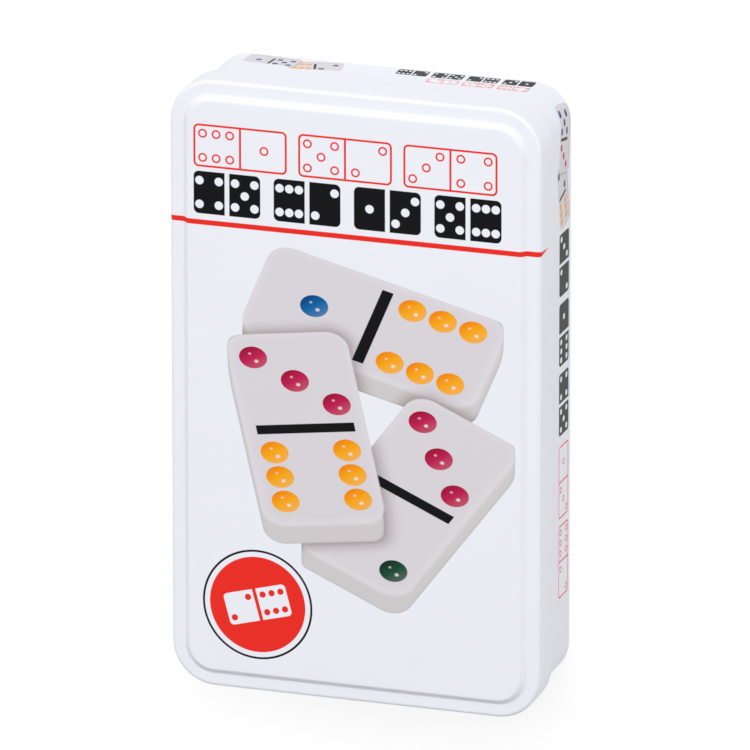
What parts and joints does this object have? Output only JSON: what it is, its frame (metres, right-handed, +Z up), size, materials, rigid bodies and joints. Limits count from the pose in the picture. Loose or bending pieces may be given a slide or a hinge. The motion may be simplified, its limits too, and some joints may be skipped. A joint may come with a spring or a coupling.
{
  "type": "domino storage box",
  "caption": "Printed slip-lid tin with an embossed lid, holding a full set of pip tiles in two layers in a formed tray.",
  "frame": {"origin": "centre of the underside, on the surface that the tin stands on", "axes": "+X across the tin to the right of the print, +Y along it towards the top of the print, +Z up through the lid"},
  "size_m": [0.1154, 0.19, 0.0395],
  "materials": {
    "printed_tinplate": "gloss lacquer over print",
    "tray_sheet": "satin formed sheet",
    "tile_resin": "polished, with lacquered pips"
  },
  "bodies": {
    "base": {"tin_base": "printed_tinplate", "tray": "tray_sheet", "tile_0_0": "tile_resin", "tile_0_1": "tile_resin", "tile_0_2": "tile_resin", "tile_0_3": "tile_resin", "tile_0_4": "tile_resin", "tile_0_5": "tile_resin", "tile_0_6": "tile_resin", "tile_1_1": "tile_resin", "tile_1_2": "tile_resin", "tile_1_3": "tile_resin", "tile_1_4": "tile_resin", "tile_1_5": "tile_resin", "tile_1_6": "tile_resin", "tile_2_2": "tile_resin", "tile_2_3": "tile_resin", "tile_2_4": "tile_resin", "tile_2_5": "tile_resin", "tile_2_6": "tile_resin", "tile_3_3": "tile_resin", "tile_3_4": "tile_resin", "tile_3_5": "tile_resin", "tile_3_6": "tile_resin", "tile_4_4": "tile_resin", "tile_4_5": "tile_resin", "tile_4_6": "tile_resin", "tile_5_5": "tile_resin", "tile_5_6": "tile_resin", "tile_6_6": "tile_resin"},
    "lid": {"tin_lid": "printed_tinplate"}
  },
  "joints": [
    {"name": "lid_lift", "type": "slide", "parent": "base", "child": "lid", "axis": [0, 0, 1], "range_m": [0, 0.08]}
  ]
}
